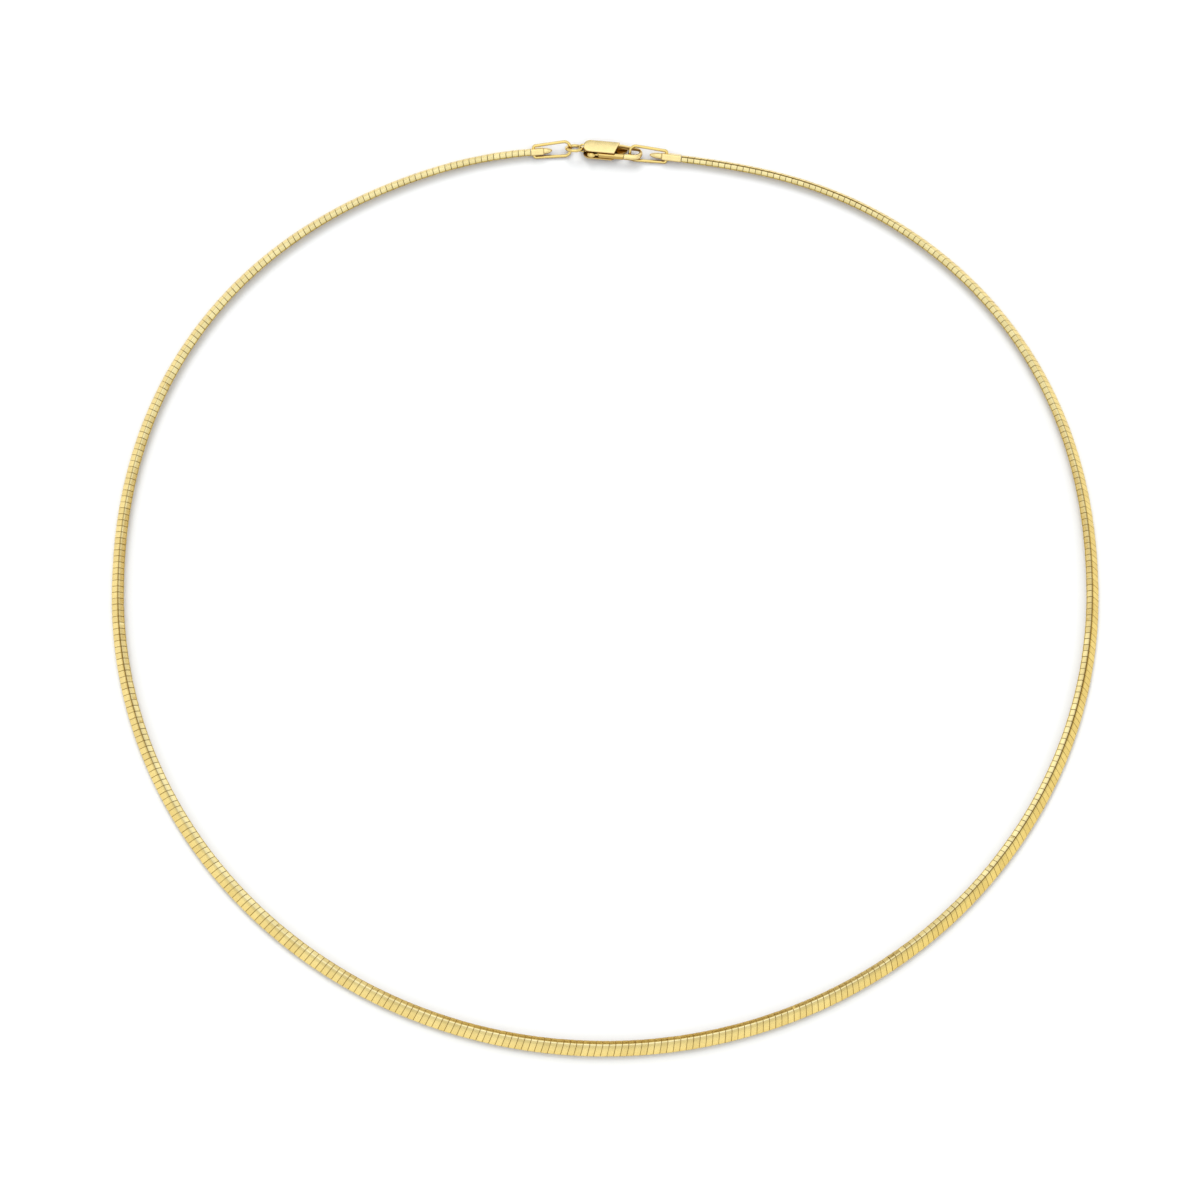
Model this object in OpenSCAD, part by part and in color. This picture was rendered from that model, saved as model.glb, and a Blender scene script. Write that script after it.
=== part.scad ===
// Omega necklace lying flat: a springy band of close-set plates, widest at the
// front, with a cap on each end, two stirrup links, a jump ring and a claw clasp.

/* [Loop] */
// Half of the loop's width, to the middle of the band
loop_half_w = 73.1; // [60:0.1:90]
// From the loop's widest line to its front, to the middle of the band
front_depth = 71.9; // [60:0.1:90]
// From the loop's widest line to its back, to the middle of the band
back_depth = 70.8; // [60:0.1:90]
// Fullness of the back half of the loop, where 2 is an ellipse
back_fullness = 2.18; // [2:0.01:2.5]
// Sideways lean of the loop's back, as a slope
back_lean = 0.057; // [0:0.001:0.08]

/* [Band] */
// Width of the band's polished face at the front
front_face = 2.25; // [1.6:0.05:5]
// Width of the band's polished face at the back
back_face = 1.25; // [1:0.05:1.4]
// Thickness of the band at the front
front_thick = 1.2; // [0.9:0.05:2]
// Thickness of the band at the back
back_thick = 0.9; // [0.7:0.05:0.95]
// Radius of the band's long edges
band_edge_r = 0.2; // [0.1:0.01:0.3]
// Bulge of the band's polished face
band_dome = 0.05; // [0:0.01:0.15]
// Lean of the band from upright as it lies, its top edge inwards
band_tilt = 34; // [28:1:45]

/* [End caps] */
// Height of a cap, along the band's face
cap_face = 1.45; // [1.45:0.05:1.8]
// Thickness of a cap
cap_thick = 1.1; // [1:0.02:1.15]
// Length of the left cap without its nose
left_cap_len = 1.9; // [1.3:0.1:4]
// Length of the right cap without its nose
right_cap_len = 2.95; // [1.5:0.05:4]
// Length of the left cap's nose
left_nose_len = 1.35; // [0.8:0.05:2]
// Length of the right cap's nose
right_nose_len = 1.95; // [0.8:0.05:2.4]
// Height of a nose
nose_face = 1.1; // [0.6:0.05:1.3]
// Thickness of a nose
nose_thick = 0.9; // [0.4:0.02:0.96]
// From the band's left end to the link's pin
left_pin_in = 0.5; // [0.5:0.05:0.9]
// From the band's right end to the link's pin
right_pin_in = 2.35; // [0.6:0.05:2.5]
// Gap between a cap and the end of the band
cap_gap = 0.05; // [0.03:0.01:0.1]

/* [Links] */
// Thickness of the stirrup links' wire
link_wire = 0.48; // [0.35:0.01:0.52]
// Length of a stirrup link, from pin to bar
link_len = 5.6; // [4.8:0.1:8]
// Width of a stirrup link across its bar, between wire centres
link_bar_w = 2.3; // [2:0.05:2.5]
// Gap beside the cap at each leg of a stirrup link
link_side_gap = 0.1; // [0.05:0.01:0.2]
// Radius of the bends at the bar
link_bend_r = 0.9; // [0.3:0.05:0.95]
// Gap around the link's pin in the cap
pin_gap = 0.06; // [0.05:0.01:0.1]
// Inside diameter of the jump ring
ring_inner_d = 2.03; // [1.9:0.01:2.4]
// Thickness of the jump ring's wire
ring_wire = 0.46; // [0.35:0.01:0.48]
// Lean of the jump ring from flat, its near side up
ring_tilt = 49; // [44:0.5:52]
// Slack between two wires that hook into each other
hook_slack = 0.12; // [0.1:0.01:0.25]

/* [Clasp] */
// Length of the clasp without its eye
clasp_len = 9.05; // [8.6:0.05:11]
// Width of the clasp
clasp_w = 2.76; // [2.7:0.02:3.2]
// Thickness of the clasp
clasp_thick = 1.6; // [1.55:0.05:2]
// Thickness of each of the clasp's two cheeks
cheek_thick = 0.35; // [0.25:0.01:0.4]
// Thickness of the claw
claw_thick = 0.52; // [0.4:0.02:0.6]
// Width of the claw's opening
claw_opening = 1.1; // [1:0.02:1.2]
// Thickness of the claw's bend at the clasp's end
claw_bend = 0.5; // [0.35:0.05:0.7]
// From the claw's bend to the bar of the link in it
bar_back = 1.45; // [0.6:0.05:1.6]
// Middle of the clasp to the right of the middle of the loop
clasp_x = 1.23; // [-2:0.01:2]
// Turn of the clasp seen from above
clasp_turn = -5.5; // [-8:0.5:0]
// Roll of the clasp as it lies, its near side up
clasp_roll = 20; // [17:1:24]
// Inside diameter of the clasp's eye
eye_inner_d = 0.95; // [0.9:0.01:1.2]
// Thickness of the eye's wire
eye_wire = 0.3; // [0.25:0.01:0.36]

/* [Lever] */
// From the lever's pivot to its tip
lever_reach = 3.7; // [3.5:0.05:4.2]
// Width of the lever
lever_w = 0.6; // [0.45:0.05:0.7]
// Gap above and below the lever, between the cheeks
lever_side_gap = 0.07; // [0.05:0.01:0.12]
// Gap between the lever's tip and the claw's tip
lever_tip_gap = 0.06; // [0.05:0.01:0.1]
// Diameter of the pivot pin
pivot_d = 0.56; // [0.4:0.02:0.7]
// Gap around the pivot pin in the lever
pivot_gap = 0.05; // [0.03:0.01:0.08]
// Length of the thumb tab
tab_len = 1.36; // [1:0.02:1.5]
// Width of the thumb tab
tab_w = 0.96; // [0.6:0.02:1]

/* [Hidden] */

gold = [0.87, 0.72, 0.38];
pale_gold = [0.93, 0.82, 0.52];
$fn = 48;

// How sharply the back's lean fades towards the sides
lean_power = 28;
// How the band's taper is spread, small for a taper kept to the back
taper_power = 0.45;
band_rings = 144;
corner_steps = 2;
wire_sides = 12;
bend_steps = 6;

// Radii of the wires, at the wire and at the middle of the round it makes
link_r = link_wire / 2;
ring_r = ring_wire / 2;
ring_mid_r = ring_inner_d / 2 + ring_r;
eye_r = eye_wire / 2;
eye_mid_r = eye_inner_d / 2 + eye_r;
link_pin_w = cap_thick + 2 * link_side_gap + link_wire;
link_pin_bend_r = 0.3;

// The clasp's own frame: x along it, y to its spine, z up, from its middle
half_len = clasp_len / 2;
half_w = clasp_w / 2;
half_t = clasp_thick / 2;
clasp_corner_r = 1.05;
clasp_edge_r = 0.3;
// The lever lies between the two cheeks, in a slot closed by the spine
slot_h = clasp_thick - 2 * cheek_thick;
spine_w = 0.63;
// How far the upper cheek stands back from the lower one
upper_setback = 0.4;
// The slanted line where each cheek stops and the claw goes on alone: x at the middle, slope
upper_end = [0.53, 0.29];
lower_end = [1.35, 1.1];
lower_end_limit = 2.15;
// The claw's opening, its round near arm, its head and its far arm
opening_y = 0.1;
opening_r = claw_opening / 2;
opening_end = half_len - claw_bend;
near_arm_r = (half_w - opening_r + opening_y) / 2;
claw_head_x = 2.2;
claw_head_far = half_w - 0.43;
claw_corner_r = 0.7;
arm_bend_x = 1.7;
bar_x = opening_end - bar_back;
pivot_x = -1.9;
pivot_y = -0.35;
lever_near = 0.08 - half_w;
hub_r = pivot_d / 2 + pivot_gap + 0.2;
tab_x = pivot_x - 1.34;
tab_y = 0.24 - half_w;
// The eye's middle lies just past the clasp's end, and its hole runs nearly across the clasp
eye_x = -half_len - 0.05;
eye_y = 0.15;
eye_turn = 75;

// Height of the clasp's middle when its far lower edge lies on the ground
clasp_z = (half_w - clasp_edge_r) * sin(clasp_roll) + (half_t - clasp_edge_r) * cos(clasp_roll)
    + clasp_edge_r + 0.02;

// How the ring lies to the eye, and the left link's bar to the ring: away and up
ring_lie = [-0.08, 0.09];
bar_lie = [0.1, -0.22];

// Height of the middle of a round-edged bar that leans by the band's tilt
function lying_height(face, thick) =
    (face / 2 - band_edge_r) * cos(band_tilt) + (thick / 2 - band_edge_r) * sin(band_tilt) + band_edge_r;
// Reach of the same bar to the side of its middle
function lying_reach(face, thick) =
    (face / 2 - band_edge_r) * sin(band_tilt) + (thick / 2 - band_edge_r) * cos(band_tilt) + band_edge_r;

function heading(v) = atan2(v[1], v[0]);
function unit(v) = v / norm(v);
function left_of(v) = [-v[1], v[0]];

// The loop's middle line: an ellipse at the front, a fuller, leaning curve at the back
function back_arch(x) =
    back_depth * pow(1 - pow(min(abs(x) / loop_half_w, 1), back_fullness), 1 / back_fullness);
function back_y(x) = let (y = back_arch(x)) y - back_lean * x * pow(y / back_depth, lean_power);
function loop_point(a) =
    let (x = loop_half_w * cos(a)) [x, sin(a) >= 0 ? back_y(x) : front_depth * sin(a)];
// Direction of travel with the clock, seen from above
function loop_dir(a) = unit(loop_point(a - 0.5) - loop_point(a + 0.5));

// A point of the clasp's frame in the loop's frame
function clasp_y(p) = p[1] * cos(clasp_roll) + p[2] * sin(clasp_roll);
function clasp_point(p) = [
    clasp_x + p[0] * cos(clasp_turn) - clasp_y(p) * sin(clasp_turn),
    back_y(clasp_x) + p[0] * sin(clasp_turn) + clasp_y(p) * cos(clasp_turn),
    clasp_z + p[2] * cos(clasp_roll) - p[1] * sin(clasp_roll)
];

// Places along the run, from the clasp outwards to the two ends of the band
eye_at = clasp_point([eye_x, eye_y, 0]);
ring_at = eye_at
    + [ring_r + eye_r + hook_slack - ring_mid_r - eye_mid_r, ring_lie[0], ring_lie[1]];
left_bar_at = ring_at + [ring_r + link_r + hook_slack - ring_mid_r, bar_lie[0], bar_lie[1]];
right_bar_at = clasp_point([bar_x, opening_y, 0]);
// A link reaches a little less far along the run than it is long, because it slopes
link_run = 0.993 * link_len;
left_end_a = acos((left_bar_at[0] - link_run - left_pin_in) / loop_half_w);
right_end_a = acos((right_bar_at[0] + link_run + right_pin_in) / loop_half_w);
left_dir = loop_dir(left_end_a);
right_dir = loop_dir(right_end_a);
cap_z = lying_height(cap_face, cap_thick);
left_pin = loop_point(left_end_a) + left_pin_in * left_dir;
right_pin = loop_point(right_end_a) - right_pin_in * right_dir;
left_pin_at = [left_pin[0], left_pin[1], cap_z];
right_pin_at = [right_pin[0], right_pin[1], cap_z];

// Moves the loop so that the middle of its outer box is at the origin
back_reach = back_y(clasp_x) + clasp_y([0, half_w - clasp_edge_r, half_t - clasp_edge_r]) + clasp_edge_r
    + (half_len - clasp_corner_r) * sin(abs(clasp_turn));
front_reach = front_depth + lying_reach(front_face, front_thick);
loop_shift = [0, (front_reach - back_reach) / 2, 0];

module rounded_rect(size, r) {
    square([size[0] - 2 * r, size[1]], center = true);
    square([size[0], size[1] - 2 * r], center = true);
    for (x = [-1, 1], y = [-1, 1])
        translate([x * (size[0] / 2 - r), y * (size[1] / 2 - r)]) circle(r = r);
}

// Share of the taper at a heading of the band's outward side, 1 at the front, 0 at the back
function taper(a) =
    let (outward = left_of(loop_dir(a))) pow(max(1 - outward[1], 0) / 2, taper_power);
function face_at(a) = back_face + (front_face - back_face) * taper(a);
function thick_at(a) = back_thick + (front_thick - back_thick) * taper(a);

// Round-edged outline of the band, from its lower outer edge upwards: thickness, then face
function corner(x, y, start) = [
    for (i = [0:corner_steps])
        let (a = start + 90 * i / corner_steps)
        [x + band_edge_r * cos(a), y + band_edge_r * sin(a)]
];
function band_outline(face, thick) =
    let (x = thick / 2 - band_edge_r, y = face / 2 - band_edge_r)
    concat(
        corner(x, -y, -90), [[thick / 2 + band_dome, 0]], corner(x, y, 0),
        corner(-x, y, 90), corner(-x, -y, 180)
    );

// The outline set across the middle line, leaning by the band's tilt
function band_ring(a) =
    let (
        middle = loop_point(a),
        outward = left_of(loop_dir(a)),
        height = lying_height(face_at(a), thick_at(a))
    )
    [
        for (p = band_outline(face_at(a), thick_at(a)))
            let (out = p[0] * cos(band_tilt) - p[1] * sin(band_tilt))
            [
                middle[0] + out * outward[0],
                middle[1] + out * outward[1],
                height + p[0] * sin(band_tilt) + p[1] * cos(band_tilt)
            ]
    ];

module band() {
    span = left_end_a - 360 - right_end_a;
    points = [for (i = [0:band_rings]) each band_ring(right_end_a + span * i / band_rings)];
    n = len(points) / (band_rings + 1);
    last = band_rings * n;
    sides = [
        for (i = [0:band_rings - 1], j = [0:n - 1])
            let (a = i * n + j, b = i * n + (j + 1) % n)
            each [[a, a + n, b + n], [a, b + n, b]]
    ];
    ends = [[for (j = [0:n - 1]) j], [for (j = [n - 1:-1:0]) last + j]];
    color(gold) translate(loop_shift) polyhedron(points, concat(sides, ends));
}

// Local x across the band's thickness, y up its face, z along the run
module on_run(at, turn) {
    translate(loop_shift + at) rotate([0, 0, turn]) rotate([band_tilt, 0, 0]) rotate([90, 0, 90])
        children();
}

module cap(body_len, nose_len, pin_in) {
    nose_r = nose_thick / 2;
    difference() {
        union() {
            linear_extrude(body_len) rounded_rect([cap_thick, cap_face], band_edge_r);
            rotate([-90, -90, 0]) linear_extrude(nose_face, center = true) {
                translate([body_len / 2, -nose_r])
                    square([body_len / 2 + nose_len - nose_r, nose_thick]);
                translate([body_len + nose_len - nose_r, 0]) circle(r = nose_r);
            }
        }
        translate([0, 0, pin_in]) rotate([0, 90, 0])
            cylinder(r = link_r + pin_gap, h = 2 * cap_thick, center = true);
    }
}

module left_cap() {
    start = left_pin_at + (cap_gap - left_pin_in) * [left_dir[0], left_dir[1], 0];
    color(pale_gold) on_run(start, heading(left_dir))
        cap(left_cap_len, left_nose_len, left_pin_in - cap_gap);
}

module right_cap() {
    start = right_pin_at - (cap_gap - right_pin_in) * [right_dir[0], right_dir[1], 0];
    color(pale_gold) on_run(start, heading(right_dir))
        mirror([0, 0, 1]) cap(right_cap_len, right_nose_len, right_pin_in - cap_gap);
}

// Stations along a closed wire round flat corner points, against the clock: x, y, heading
function wire_stations(p, bends) =
    let (n = len(p))
    [
        for (i = [0:n - 1])
            let (
                a = unit(p[i] - p[(i + n - 1) % n]),
                turn = acos(a * unit(p[(i + 1) % n] - p[i])),
                centre = p[i] - bends[i] * tan(turn / 2) * a + bends[i] * left_of(a)
            )
            for (k = [0:bend_steps])
                let (h = heading(a) + turn * k / bend_steps)
                [centre[0] + bends[i] * sin(h), centre[1] - bends[i] * cos(h), h]
    ];

// A closed loop of wire, swept along its stations
module wire_loop(p, bends, r) {
    stations = wire_stations(p, bends);
    n = len(stations);
    points = [
        for (s = stations, k = [0:wire_sides - 1])
            let (turn = 360 * k / wire_sides, out = r * cos(turn))
            [s[0] - out * sin(s[2]), s[1] + out * cos(s[2]), r * sin(turn)]
    ];
    sides = [
        for (i = [0:n - 1], k = [0:wire_sides - 1])
            let (
                a = i * wire_sides + k,
                b = i * wire_sides + (k + 1) % wire_sides,
                c = ((i + 1) % n) * wire_sides + k,
                d = ((i + 1) % n) * wire_sides + (k + 1) % wire_sides
            )
            each [[a, c, d], [a, d, b]]
    ];
    polyhedron(points, sides);
}

// A stirrup link from its pin in the cap to its bar, rolled with the band's tilt
module stirrup(pin, bar, roll) {
    reach = bar - pin;
    length = norm(reach);
    pin_half = link_pin_w / 2;
    bar_half = link_bar_w / 2;
    translate(loop_shift + pin) rotate([0, -asin(reach[2] / length), heading(reach)]) rotate([roll, 0, 0])
        wire_loop(
            [[0, -pin_half], [length, -bar_half], [length, bar_half], [0, pin_half]],
            [link_pin_bend_r, link_bend_r, link_bend_r, link_pin_bend_r],
            link_r
        );
}

module left_link() {
    color(gold) stirrup(left_pin_at, left_bar_at, band_tilt);
}

module right_link() {
    color(gold) stirrup(right_pin_at, right_bar_at, -band_tilt);
}

module jump_ring() {
    color(gold) translate(loop_shift + ring_at) rotate([-ring_tilt, 0, 0])
        rotate_extrude() translate([ring_mid_r, 0]) circle(r = ring_r);
}

module in_clasp() {
    translate(loop_shift + [clasp_x, back_y(clasp_x), clasp_z]) rotate([0, 0, clasp_turn])
        rotate([-clasp_roll, 0, 0]) children();
}

// Across the clasp: two cheeks joined by the spine, the upper one set back
module cheek_section() {
    edge_y = upper_setback + cheek_thick / 2 - half_w;
    difference() {
        rounded_rect([clasp_w, clasp_thick], clasp_edge_r);
        translate([-clasp_w, -slot_h / 2]) square([clasp_w + half_w - spine_w, slot_h]);
        translate([-clasp_w, 0]) square([clasp_w + edge_y, clasp_thick]);
    }
    translate([edge_y, half_t - cheek_thick / 2]) circle(d = cheek_thick);
}

// Seen from above: round at the eye, and cut off along a slanted line
module cheek_plan(end, limit) {
    intersection() {
        rounded_rect([clasp_len, clasp_w], clasp_corner_r);
        polygon([
            [-clasp_len, -clasp_w],
            [end[0] - end[1] * clasp_w, -clasp_w],
            [end[0] + end[1] * clasp_w, clasp_w],
            [-clasp_len, clasp_w]
        ]);
        translate([-clasp_len, -clasp_w]) square([clasp_len + limit, 2 * clasp_w]);
    }
}

module cheeks() {
    intersection() {
        rotate([90, 0, 90]) linear_extrude(3 * clasp_len, center = true) cheek_section();
        union() {
            linear_extrude(clasp_thick) cheek_plan(upper_end, half_len);
            translate([0, 0, -clasp_thick]) linear_extrude(clasp_thick) cheek_plan(lower_end, lower_end_limit);
        }
    }
}

module claw_outline() {
    head_w = half_w + claw_head_far;
    difference() {
        union() {
            translate([(half_len + claw_head_x - 2) / 2, (claw_head_far - half_w) / 2])
                rounded_rect([half_len - claw_head_x + 2, head_w], claw_corner_r);
            polygon([
                [0, half_w - clasp_edge_r / 2],
                [arm_bend_x, half_w - clasp_edge_r / 2],
                [half_len - claw_corner_r, claw_head_far],
                [half_len - claw_corner_r, 0],
                [0, 0]
            ]);
        }
        translate([-clasp_len, opening_y - opening_r])
            square([clasp_len + opening_end - opening_r, claw_opening]);
        translate([opening_end - opening_r, opening_y]) circle(r = opening_r);
        intersection() {
            translate([pivot_x, pivot_y]) circle(r = lever_reach + lever_tip_gap);
            translate([-clasp_len, opening_y - clasp_w]) square([2 * clasp_len, clasp_w]);
        }
    }
}

// The claw's near arm is a round bar up to the lever's tip
module near_arm() {
    end_x = half_len - claw_bend - near_arm_r;
    difference() {
        translate([0, near_arm_r - half_w, 0]) {
            rotate([0, 90, 0]) cylinder(r = near_arm_r, h = end_x);
            translate([end_x, 0, 0]) sphere(r = near_arm_r);
        }
        translate([pivot_x, pivot_y, 0])
            cylinder(r = lever_reach + lever_tip_gap, h = clasp_w, center = true);
    }
}

module clasp_body() {
    web_x = eye_x + eye_inner_d / 2 + 0.03;
    web_near = eye_y - eye_wire;
    color(pale_gold) in_clasp() {
        cheeks();
        linear_extrude(claw_thick, center = true) claw_outline();
        near_arm();
        translate([web_x, web_near, -slot_h / 2])
            cube([eye_wire + 0.4, half_w - spine_w / 2 - web_near, slot_h]);
        translate([pivot_x, pivot_y, 0]) cylinder(d = pivot_d, h = clasp_thick, center = true);
        translate([eye_x, eye_y, 0]) rotate([eye_turn, 0, 0])
            rotate_extrude() translate([eye_mid_r, 0]) circle(r = eye_r);
    }
}

// A leaf shape: the overlap of two equal circles
module leaf(length, width) {
    r = (length * length + width * width) / (4 * width);
    intersection_for(side = [-1, 1]) translate([0, side * (r - width / 2)]) circle(r = r, $fn = 96);
}

module clasp_lever() {
    height = slot_h - 2 * lever_side_gap;
    neck_w = tab_w / 3;
    color(gold) in_clasp() difference() {
        linear_extrude(height, center = true) {
            translate([pivot_x, pivot_y]) circle(r = hub_r);
            intersection() {
                translate([pivot_x, pivot_y]) circle(r = lever_reach);
                polygon([
                    [pivot_x - hub_r, lever_near],
                    [half_len, lever_near],
                    [half_len, lever_near + lever_w],
                    [pivot_x + 2 * hub_r, lever_near + lever_w],
                    [pivot_x + hub_r, pivot_y],
                    [pivot_x - hub_r, pivot_y]
                ]);
            }
            translate([tab_x, tab_y - neck_w / 2]) square([pivot_x - tab_x, neck_w]);
            translate([tab_x, tab_y]) leaf(tab_len, tab_w);
        }
        translate([pivot_x, pivot_y, 0])
            cylinder(r = pivot_d / 2 + pivot_gap, h = 2 * height, center = true);
    }
}

band();
left_cap();
right_cap();
left_link();
right_link();
jump_ring();
clasp_body();
clasp_lever();
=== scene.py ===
import math
import bmesh
import bpy
import numpy as np
from mathutils import Matrix, Vector


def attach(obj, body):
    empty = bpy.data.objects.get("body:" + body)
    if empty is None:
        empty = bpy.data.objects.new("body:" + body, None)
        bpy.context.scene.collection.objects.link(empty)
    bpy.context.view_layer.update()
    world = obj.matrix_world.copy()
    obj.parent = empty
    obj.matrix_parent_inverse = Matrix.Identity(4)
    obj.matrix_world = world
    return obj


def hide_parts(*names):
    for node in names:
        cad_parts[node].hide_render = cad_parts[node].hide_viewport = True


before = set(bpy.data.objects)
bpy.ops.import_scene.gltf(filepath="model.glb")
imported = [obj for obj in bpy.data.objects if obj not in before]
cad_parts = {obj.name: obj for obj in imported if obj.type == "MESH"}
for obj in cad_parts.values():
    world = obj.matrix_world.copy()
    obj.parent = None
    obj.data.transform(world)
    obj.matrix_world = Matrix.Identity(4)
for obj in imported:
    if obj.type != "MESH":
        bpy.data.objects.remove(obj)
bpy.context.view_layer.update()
mm = 0.001              # the necklace's sizes below are in millimetres
rng = np.random.default_rng(11)
print("frame loaded:", ", ".join(sorted(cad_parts)))


# camera, floor and light

view = {
    "elevation": 70.7,      # degrees above the surface
    "distance": 1.1468,     # metres, to the point seen in the middle of the picture
    "middle": (-0.00077, -0.00144, 0.0),
    "lens": 229.2,          # millimetres, as the sensor
    "sensor": 36.0,
}

cam = bpy.data.objects.new("camera", bpy.data.cameras.new("camera"))
scene = bpy.context.scene
scene.collection.objects.link(cam)
lift = math.radians(view["elevation"])
back = Vector((0, -math.cos(lift), math.sin(lift)))
cam.location = Vector(view["middle"]) + back * view["distance"]
cam.rotation_euler = (math.pi / 2 - lift, 0, 0)
cam.data.lens = view["lens"]
cam.data.sensor_width = view["sensor"]
cam.data.clip_start, cam.data.clip_end = 0.01, 10
scene.camera = cam
scene.view_settings.view_transform = "Standard"


def newMaterial(name):
    # a node material that holds one shader and one output
    mat = bpy.data.materials.new(name)
    mat.use_nodes = True
    tree = mat.node_tree
    tree.nodes.clear()
    out = tree.nodes.new("ShaderNodeOutputMaterial")
    shader = tree.nodes.new("ShaderNodeBsdfPrincipled")
    tree.links.new(shader.outputs[0], out.inputs[0])
    return mat, tree, shader


def add(tree, kind, inputs=(), **settings):
    # one node: settings are its own properties, inputs are (socket, value or output)
    n = tree.nodes.new(kind)
    for key, value in settings.items():
        setattr(n, key, value)
    for socket, value in inputs:
        if isinstance(value, bpy.types.NodeSocket):
            tree.links.new(value, n.inputs[socket])
        else:
            n.inputs[socket].default_value = value
    return n


def mathNode(tree, what, *values):
    # one sum or other operation on up to three values
    return add(tree, "ShaderNodeMath", enumerate(values), operation=what).outputs[0]


def rise(tree, x, low, high, outLow=0.0, outHigh=1.0):
    # smooth step of x from low to high
    inputs = enumerate([x, low, high, outLow, outHigh])
    return add(tree, "ShaderNodeMapRange", inputs, interpolation_type="SMOOTHSTEP").outputs[0]


def solid(color):
    # a colour with full cover
    return (*color, 1)


def mixColor(tree, share, a, b, blend="MIX"):
    # from colour a at share 0 to colour b, or to a times b, at share 1
    n = add(tree, "ShaderNodeMix", [(0, share), (6, a), (7, b)], data_type="RGBA", blend_type=blend)
    return n.outputs[2]


studio = {
    "floorShade": 0.86,
    "skyLevel": 0.86,
    "keyPower": 1.06,
    "keyWidth": 32.0,       # degrees across, as seen from the necklace
    "keyLift": 54.0,        # degrees above the surface
    "keyTurn": 12.0,        # degrees to the left of straight behind
    "keyColor": (1.0, 0.985, 0.955),
    "floorReach": 1.5,      # metres from the middle, far past the picture's edges
}

# the sky is an even level with soft patches: direction, cosine of the angle from it where the
# patch starts, cosine where it is full, change of brightness, tint
plain = (0.945, 0.975, 1.0)
warm = (1.0, 0.86, 0.58)
brown = (1.0, 0.72, 0.26)
skyPatches = [
    ((-0.08, 1.0, 0.05), 0.90, 0.97, -0.58, brown),
    ((0.92, 0.25, 0.33), 0.90, 0.99, -0.08, plain),
    ((-0.92, 0.25, 0.33), 0.90, 0.99, -0.10, warm),
    ((0.92, 0.28, 0.28), 0.90, 0.99, -0.06, warm),
    ((-0.72, 0.64, 0.22), 0.91, 0.985, 0.45, plain),
    ((0.66, 0.72, 0.20), 0.91, 0.985, 0.32, plain),
    ((0.80, -0.28, 0.53), 0.88, 0.98, 0.18, plain),
    ((-0.80, -0.28, 0.53), 0.88, 0.98, 0.15, plain),
    ((0.05, 0.88, 0.47), 0.91, 0.975, 0.42, plain),
    ((-0.10, 0.49, 0.87), 0.88, 0.98, 0.45, plain),
    ((0.0, -0.33, 0.94), 0.70, 0.97, 0.40, plain),
]


def makeFloor():
    # one flat square at height 0
    r = studio["floorReach"]
    mesh = bpy.data.meshes.new("floor")
    mesh.from_pydata([(-r, -r, 0), (r, -r, 0), (r, r, 0), (-r, r, 0)], [], [(0, 1, 2, 3)])
    floor = bpy.data.objects.new("floor", mesh)
    scene.collection.objects.link(floor)
    mat, tree, shader = newMaterial("paleFloor")
    shader.inputs["Base Color"].default_value = solid([studio["floorShade"]] * 3)
    shader.inputs["Roughness"].default_value = 1.0
    shader.inputs["Specular IOR Level"].default_value = 0.0
    mesh.materials.append(mat)


def makeSky():
    # each patch adds its change and blends in its tint by a smooth step of the cosine
    world = bpy.data.worlds.new("studioSky")
    scene.world = world
    world.use_nodes = True
    tree = world.node_tree
    tree.nodes.clear()
    out = tree.nodes.new("ShaderNodeOutputWorld")
    direction = add(tree, "ShaderNodeTexCoord").outputs["Generated"]
    level, color = studio["skyLevel"], solid(plain)
    for aim, start, full, change, tint in skyPatches:
        inputs = [(0, direction), (1, tuple(Vector(aim).normalized()))]
        cosine = add(tree, "ShaderNodeVectorMath", inputs, operation="DOT_PRODUCT").outputs["Value"]
        patch = rise(tree, cosine, start, full)
        level = mathNode(tree, "MULTIPLY_ADD", patch, change, level)
        color = mixColor(tree, patch, color, solid(tint))
    glow = add(tree, "ShaderNodeBackground", [("Color", color), ("Strength", level)])
    tree.links.new(glow.outputs[0], out.inputs[0])


def makeKey():
    # one wide soft lamp behind and above the loop, the same all over the floor
    a = math.radians(studio["keyTurn"])
    e = math.radians(studio["keyLift"])
    aim = Vector((-math.sin(a) * math.cos(e), math.cos(a) * math.cos(e), math.sin(e)))
    lamp = bpy.data.lights.new("key", "SUN")
    lamp.energy = studio["keyPower"]
    lamp.angle = math.radians(studio["keyWidth"])
    lamp.color = studio["keyColor"]
    key = bpy.data.objects.new("key", lamp)
    scene.collection.objects.link(key)
    key.location = aim
    key.rotation_mode = "QUATERNION"
    key.rotation_quaternion = aim.to_track_quat("Z", "Y")
    key.visible_glossy = False      # the gold mirrors the sky's own soft patches instead


makeFloor()
makeSky()
makeKey()
print("camera, floor and light made")


# meshes and pieces

def aroundFaces(values):
    # the values at the four corners of each face of a grid, in order round the face
    return np.stack([values[:-1, :-1], values[1:, :-1], values[1:, 1:], values[:-1, 1:]], -1)


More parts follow.
